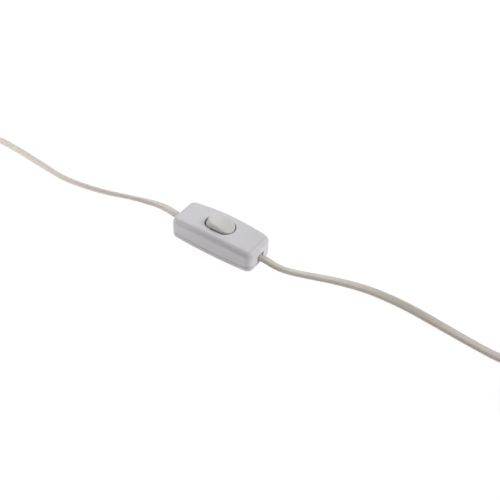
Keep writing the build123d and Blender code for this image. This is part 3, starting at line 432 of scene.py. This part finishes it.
class Finish:
    """One procedural material under construction."""

    def __init__(self, name):
        self.material = bpy.data.materials.new(name)
        self.material.use_nodes = True
        self.nodes = self.material.node_tree.nodes
        self.links = self.material.node_tree.links
        self.shader = self.nodes["Principled BSDF"]
        self.place = self.nodes.new("ShaderNodeTexCoord")

    def noise(self, scale, detail=2.0, rough=0.5):
        """Noise in the object's own coordinates, scale in waves per metre."""
        node = self.nodes.new("ShaderNodeTexNoise")
        node.inputs["Scale"].default_value = scale
        node.inputs["Detail"].default_value = detail
        node.inputs["Roughness"].default_value = rough
        self.links.new(self.place.outputs["Object"], node.inputs["Vector"])
        return node.outputs["Fac"]

    def streaks(self, scale, stretch):
        """Noise whose waves per metre are multiplied by stretch along each axis."""
        node = self.nodes.new("ShaderNodeTexNoise")
        drawn = self.nodes.new("ShaderNodeMapping")
        drawn.inputs["Scale"].default_value = stretch
        node.inputs["Scale"].default_value = scale
        node.inputs["Detail"].default_value = 3.0
        self.links.new(self.place.outputs["Object"], drawn.inputs["Vector"])
        self.links.new(drawn.outputs["Vector"], node.inputs["Vector"])
        return node.outputs["Fac"]

    def edges(self, width, breakup):
        """Mask that is strongest on sharp edges, broken up by a noise."""
        rounded = self.nodes.new("ShaderNodeBevel")
        rounded.samples = 4
        rounded.inputs["Radius"].default_value = width
        surface = self.nodes.new("ShaderNodeNewGeometry")
        turn = self.nodes.new("ShaderNodeVectorMath")
        turn.operation = "DISTANCE"
        self.links.new(rounded.outputs["Normal"], turn.inputs[0])
        self.links.new(surface.outputs["Normal"], turn.inputs[1])
        mask = self.nodes.new("ShaderNodeMath")
        mask.operation = "MULTIPLY"
        mask.use_clamp = True
        self.links.new(turn.outputs["Value"], mask.inputs[0])
        self.links.new(breakup, mask.inputs[1])
        return mask.outputs["Value"]

    def crevice_shade(self, reach):
        """Painted shade mask, strongest in gaps and inner corners narrower than reach, where shade falls.
        """
        node = self.nodes.new("ShaderNodeAmbientOcclusion")
        node.samples = 8
        node.inputs["Distance"].default_value = reach
        mask = self.nodes.new("ShaderNodeMath")
        mask.operation = "SUBTRACT"
        mask.inputs[0].default_value = 1.0
        self.links.new(node.outputs["AO"], mask.inputs[1])
        return mask.outputs["Value"]

    def blend(self, share, first, second):
        """Colour output that goes from first to the constant colour second by share."""
        node = self.nodes.new("ShaderNodeMix")
        node.data_type = "RGBA"
        self.links.new(share, node.inputs[MIX_SHARE])
        self.links.new(first, node.inputs[MIX_FIRST])
        node.inputs[MIX_SECOND].default_value = (*second, 1)
        return node.outputs[MIX_RESULT]

    def tint(self, source, base, spread, *layers):
        """Colour that wanders a little about its base, under layers of (mask, colour)."""
        ramp = self.nodes.new("ShaderNodeValToRGB")
        dark, light = ramp.color_ramp.elements
        dark.position = 0.3
        light.position = 0.7
        dark.color = (*(c * (1 - spread) for c in base), 1)
        light.color = (*(min(c * (1 + spread), 1) for c in base), 1)
        self.links.new(source, ramp.inputs["Fac"])
        shade = ramp.outputs["Color"]
        for mask, cover in layers:
            shade = self.blend(mask, shade, cover)
        self.links.new(shade, self.shader.inputs["Base Color"])

    def sheen_range(self, source, low, high):
        """Roughness that wanders between two values."""
        node = self.nodes.new("ShaderNodeMapRange")
        node.inputs["To Min"].default_value = low
        node.inputs["To Max"].default_value = high
        self.links.new(source, node.inputs["Value"])
        self.links.new(node.outputs["Result"], self.shader.inputs["Roughness"])

    def grain(self, source, strength, depth):
        """Fine surface relief, depth in metres."""
        node = self.nodes.new("ShaderNodeBump")
        node.inputs["Strength"].default_value = strength
        node.inputs["Distance"].default_value = depth
        self.links.new(source, node.inputs["Height"])
        self.links.new(node.outputs["Normal"], self.shader.inputs["Normal"])

    def set(self, **values):
        """Sets constant sockets by name, with spaces written as underscores."""
        for name, value in values.items():
            self.shader.inputs[name.replace("_", " ")].default_value = value
        return self


def moulded(name, base, rough=0.42, grain=4200.0):
    """Spark-textured moulded plastic, rubbed pale along its edges, with painted shade in its gaps.

    rough is its mean roughness, and grain the spark texture's waves per metre.
    """
    finish = Finish(name)
    worn = tuple(0.85 * c + 0.12 for c in base)
    # Painted shade: gaps and inner corners narrower than 0.8 mm are darkened towards 0.3 of the base
    # colour.
    gap_shade_colour = tuple(0.3 * c for c in base)
    patches = finish.noise(scale=55, detail=3)
    rubbed = finish.edges(width=0.0004, breakup=finish.noise(scale=900, detail=3))
    painted_gap_shade = finish.crevice_shade(reach=0.0008)
    finish.tint(patches, base, 0.025, (rubbed, worn), (painted_gap_shade, gap_shade_colour))
    finish.sheen_range(finish.noise(scale=420, detail=4), low=rough - 0.07, high=rough + 0.07)
    finish.grain(finish.noise(scale=grain, detail=3), strength=0.14, depth=0.00004)
    return finish.set(IOR=1.49).material


def metal(name, base, rough=0.28):
    """Drawn or stamped metal with draw marks along x and bright rubbed edges."""
    finish = Finish(name)
    worn = tuple(0.6 * c + 0.38 for c in base)
    patches = finish.noise(scale=300, detail=4)
    rubbed = finish.edges(width=0.0002, breakup=finish.noise(scale=2400, detail=3))
    finish.tint(patches, base, 0.08, (rubbed, worn))
    marks = finish.streaks(scale=900, stretch=(0.06, 1.0, 1.0))
    finish.sheen_range(marks, low=rough - 0.08, high=rough + 0.12)
    finish.grain(marks, strength=0.12, depth=0.00002)
    return finish.set(Metallic=1.0).material


def stranded(name, base):
    """Bare conductor of fine wires twisted together."""
    finish = Finish(name)
    wires = finish.nodes.new("ShaderNodeTexWave")
    wires.bands_direction = "DIAGONAL"
    wires.inputs["Scale"].default_value = 420
    wires.inputs["Distortion"].default_value = 0.6
    finish.links.new(finish.place.outputs["Object"], wires.inputs["Vector"])
    finish.tint(wires.outputs["Fac"], base, 0.22)
    finish.sheen_range(finish.noise(scale=1500, detail=3), low=0.24, high=0.4)
    finish.grain(wires.outputs["Fac"], strength=0.6, depth=0.00012)
    return finish.set(Metallic=1.0).material


def sheath(name, base):
    """Extruded soft cord covering with a slight sheen, flow lines and handling marks."""
    finish = Finish(name)
    soiled = tuple(c * shade for c, shade in zip(base, (0.93, 0.9, 0.85)))
    marks = finish.noise(scale=38, detail=5, rough=0.6)
    hold = finish.nodes.new("ShaderNodeMapRange")
    hold.inputs["From Min"].default_value = 0.5
    hold.inputs["From Max"].default_value = 0.8
    finish.links.new(marks, hold.inputs["Value"])
    finish.tint(finish.noise(scale=160, detail=4), base, 0.025, (hold.outputs["Result"], soiled))
    finish.sheen_range(finish.noise(scale=240, detail=4), low=0.36, high=0.54)
    flow_lines = finish.streaks(scale=1500, stretch=(0.05, 1.0, 1.0))
    finish.grain(flow_lines, strength=0.12, depth=0.00005)
    return finish.set(IOR=1.5).material


def dress(material, *names):
    """Gives CAD nodes a material in place of their plain one."""
    for name in names:
        mesh = frame["nodes"][name].data
        mesh.materials.clear()
        mesh.materials.append(material)


class LAMPCORD_OT_cords(Operator):
    """Lays both cords with their put-away hanks"""

    bl_idname = "lampcord.cords"
    bl_label = "Cords"

    def execute(self, context):
        cord = settings(context, "cord")
        section = oval_section(cord)
        cover = sheath("cord_sheath", cord.sheath)
        sides = (
            ("supply_cord_line", supply_points(cord), EXIT_X, SUPPLY_LENGTH, "plug",
             ("supply_cord", "supply_hank", "supply_tail"),
             ("plug_body", "plug_pins", "pin_sleeves", "supply_tie")),
            ("lamp_cord_line", lamp_points(cord), -EXIT_X, LAMP_LENGTH, "bare",
             ("lamp_cord", "lamp_hank", "lamp_tail"),
             ("lamp_tie", "lamp_line_lead", "lamp_neutral_lead", "lead_tips")),
        )
        for name, points, exit_x, real_length, far_end, nodes, ends in sides:
            curve = cord_curve(name, points, section)
            curve.data.materials.append(cover)
            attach(curve, ROOT_BODY)
            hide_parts(*nodes)
        return {"FINISHED"}


class LAMPCORD_OT_housing(Operator):
    """Finishes the switch's two halves and all the switch's screws"""

    bl_idname = "lampcord.housing"
    bl_label = "Housing"

    def execute(self, context):
        finish = settings(context, "finish")
        dress(moulded("housing_plastic", finish.housing), "base", "top_cover")
        dress(
            metal("screw_steel", finish.screws),
            "cover_screws", "clamp_screws", "terminal_screws", "connector_screws",
        )
        return {"FINISHED"}


class LAMPCORD_OT_rocker(Operator):
    """Finishes the rocker and walls up its raised end"""

    bl_idname = "lampcord.rocker"
    bl_label = "Rocker"

    def execute(self, context):
        finish = settings(context, "finish")
        plastic = moulded("rocker_plastic", finish.rocker, rough=0.36, grain=3600)
        dress(plastic, "rocker")
        wall = end_wall("rocker_end_wall", settings(context, "rocker"))
        wall.data.materials.append(plastic)
        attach(wall, "rocker")
        return {"FINISHED"}


class LAMPCORD_OT_spring(Operator):
    """Winds the plunger's spring in place of the plain one"""

    bl_idname = "lampcord.spring"
    bl_label = "Spring"

    def execute(self, context):
        spring = settings(context, "spring")
        finish = settings(context, "finish")
        slide = joint("plunger_slide")
        up = Vector(slide["axis"])
        foot = Vector(joint("rocker_tilt")["pos_m"]) - up * spring.foot
        coil = coil_spring("plunger_coil", spring, foot, up)
        coil.data.materials.append(metal("spring_steel", finish.spring))
        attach(coil, "rocker")
        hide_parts("plunger_spring")
        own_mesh(coil)
        return {"FINISHED"}


class LAMPCORD_OT_mechanism(Operator):
    """Finishes the pieces inside the switch and the cores of the cord"""

    bl_idname = "lampcord.mechanism"
    bl_label = "Mechanism"

    def execute(self, context):
        finish = settings(context, "finish")
        dress(moulded("insulator_plastic", finish.insulator), "plunger")
        dress(
            metal("strip_brass", finish.strip),
            "contact_lever", "pivot_terminal", "fixed_terminal", "neutral_connector",
        )
        dress(metal("contact_metal", finish.contacts, rough=0.2), "moving_contact", "fixed_contact")
        dress(moulded("clamp_plastic", finish.clamps), "supply_clamp", "lamp_clamp")
        dress(stranded("bare_copper", finish.copper), "bare_conductors", "lead_tips")
        dress(
            sheath("line_insulation", finish.line),
            "supply_line_core", "lamp_line_core", "lamp_line_lead",
        )
        dress(
            sheath("neutral_insulation", finish.neutral),
            "supply_neutral_core", "lamp_neutral_core", "lamp_neutral_lead",
        )
        return {"FINISHED"}


class LAMPCORD_OT_plug(Operator):
    """Finishes the plug and the ties of the hanks"""

    bl_idname = "lampcord.plug"
    bl_label = "Plug and Ties"

    def execute(self, context):
        cord = settings(context, "cord")
        finish = settings(context, "finish")
        dress(moulded("plug_plastic", cord.sheath), "plug_body")
        dress(metal("pin_metal", finish.pins, rough=0.24), "plug_pins")
        dress(moulded("pin_sleeve", finish.sleeves), "pin_sleeves")
        dress(sheath("tie_band", finish.ties), "supply_tie", "lamp_tie")
        return {"FINISHED"}


def softbox(name, place, aim, width, height, power):
    """Rectangular studio lamp."""
    lamp = bpy.data.lights.new(name, "AREA")
    lamp.shape = "RECTANGLE"
    lamp.size = width
    lamp.size_y = height
    lamp.energy = power
    box = bpy.data.objects.new(name, lamp)
    bpy.context.collection.objects.link(box)
    box.location = place
    box.rotation_euler = (Vector(aim) - Vector(place)).to_track_quat("-Z", "Y").to_euler()


def seen_share(nodes, links):
    """Node output that is 1 for rays from the camera, gloss and glass."""
    path = nodes.new("ShaderNodeLightPath")
    total = path.outputs["Is Camera Ray"]
    for name in ("Is Glossy Ray", "Is Transmission Ray"):
        either = nodes.new("ShaderNodeMath")
        either.operation = "MAXIMUM"
        links.new(total, either.inputs[0])
        links.new(path.outputs[name], either.inputs[1])
        total = either.outputs[0]
    return total


class LAMPCORD_OT_stage(Operator):
    """Sets the camera, the floor, the lamps and the white surround"""

    bl_idname = "lampcord.stage"
    bl_label = "Stage"

    def execute(self, context):
        stage = settings(context, "stage")
        self.place_camera(context, stage)
        self.lay_floor(context, stage)
        self.light_up(context, stage)
        context.scene.view_settings.view_transform = "Standard"
        return {"FINISHED"}

    def place_camera(self, context, stage):
        """Camera at the photograph's angle, aimed at the switch."""
        level = math.cos(stage.elevation)
        back = Vector((
            math.sin(stage.azimuth) * level,
            -math.cos(stage.azimuth) * level,
            math.sin(stage.elevation),
        ))
        lens = bpy.data.cameras.new("camera")
        lens.lens = stage.lens
        lens.shift_x = stage.shift_x
        lens.shift_y = stage.shift_y
        lens.clip_start = CAMERA_CLIP_START
        camera = bpy.data.objects.new("camera", lens)
        context.collection.objects.link(camera)
        camera.location = back * stage.distance
        camera.rotation_euler = (-back).to_track_quat("-Z", "Y").to_euler()
        context.scene.camera = camera

    def lay_floor(self, context, stage):
        """Lit paper that looks white to the camera and still takes the shadow."""
        mesh = bpy.data.meshes.new("floor")
        sides = ((-1, -1), (1, -1), (1, 1), (-1, 1))
        corners = [(x * FLOOR_HALF, y * FLOOR_HALF, -FLOOR_DROP) for x, y in sides]
        mesh.from_pydata(corners, [], [(0, 1, 2, 3)])
        floor = bpy.data.objects.new("floor", mesh)
        context.collection.objects.link(floor)
        material = bpy.data.materials.new("floor_paper")
        material.use_nodes = True
        nodes, links = material.node_tree.nodes, material.node_tree.links
        paper = nodes["Principled BSDF"]
        paper.inputs["Base Color"].default_value = PAPER_COLOUR
        paper.inputs["Roughness"].default_value = PAPER_ROUGHNESS
        paper.inputs["Emission Color"].default_value = GLOW_COLOUR
        paper.inputs["Emission Strength"].default_value = stage.table_glow
        white = nodes.new("ShaderNodeEmission")
        white.inputs["Strength"].default_value = SEEN_FLOOR_STRENGTH
        lit = nodes.new("ShaderNodeMixShader")
        lit.inputs["Fac"].default_value = SEEN_FLOOR_SHARE
        links.new(paper.outputs["BSDF"], lit.inputs[1])
        links.new(white.outputs["Emission"], lit.inputs[2])
        choose = nodes.new("ShaderNodeMixShader")
        links.new(seen_share(nodes, links), choose.inputs["Fac"])
        links.new(paper.outputs["BSDF"], choose.inputs[1])
        links.new(lit.outputs["Shader"], choose.inputs[2])
        links.new(choose.outputs["Shader"], nodes["Material Output"].inputs["Surface"])
        mesh.materials.append(material)

    def light_up(self, context, stage):
        """Dim surround that looks white to the camera, and the softboxes."""
        world = bpy.data.worlds.new("surround")
        world.use_nodes = True
        context.scene.world = world
        nodes, links = world.node_tree.nodes, world.node_tree.links
        ambient = nodes["Background"]
        ambient.inputs["Color"].default_value = WHITE
        ambient.inputs["Strength"].default_value = stage.ambient
        white = nodes.new("ShaderNodeBackground")
        white.inputs["Color"].default_value = WHITE
        white.inputs["Strength"].default_value = 1.0
        choose = nodes.new("ShaderNodeMixShader")
        links.new(seen_share(nodes, links), choose.inputs["Fac"])
        links.new(ambient.outputs["Background"], choose.inputs[1])
        links.new(white.outputs["Background"], choose.inputs[2])
        links.new(choose.outputs["Shader"], nodes["World Output"].inputs["Surface"])
        for name, place, aim, width, height in SOFTBOXES:
            softbox(name, place, aim, width, height, getattr(stage, name))


class LAMPCORD_PT_panel(Panel):
    """Buttons and settings of the lamp cord"""

    bl_idname = "LAMPCORD_PT_panel"
    bl_label = "Lamp Cord"
    bl_space_type = "VIEW_3D"
    bl_region_type = "UI"
    bl_category = "Lamp Cord"

    def draw(self, context):
        for operator in OPERATORS:
            self.layout.operator(operator.bl_idname)
        for group in GROUPS:
            box = self.layout.box()
            for name in GROUPS[group].__annotations__:
                box.prop(settings(context, group), name)


GROUPS = {
    "cord": CordSettings, "rocker": RockerSettings, "spring": SpringSettings,
    "finish": FinishSettings, "stage": StageSettings,
}
OPERATORS = (
    LAMPCORD_OT_stage, LAMPCORD_OT_cords, LAMPCORD_OT_housing, LAMPCORD_OT_rocker,
    LAMPCORD_OT_spring, LAMPCORD_OT_mechanism, LAMPCORD_OT_plug,
)
CLASSES = (*GROUPS.values(), *OPERATORS, LAMPCORD_PT_panel)


def register():
    """Registers the classes and hangs their settings on the scene."""
    for item in CLASSES:
        bpy.utils.register_class(item)
    for name, group in GROUPS.items():
        setattr(bpy.types.Scene, SETTINGS_PREFIX + name, PointerProperty(type=group))


def unregister():
    """Takes the settings off the scene and the classes out again."""
    for name in GROUPS:
        delattr(bpy.types.Scene, SETTINGS_PREFIX + name)
    for item in reversed(CLASSES):
        bpy.utils.unregister_class(item)


def main():
    """Builds the stage and the pieces."""
    register()
    bpy.ops.lampcord.stage()
    bpy.ops.lampcord.cords()
    bpy.ops.lampcord.housing()
    bpy.ops.lampcord.rocker()
    bpy.ops.lampcord.spring()
    bpy.ops.lampcord.mechanism()
    bpy.ops.lampcord.plug()


if __name__ == "__main__":
    main()
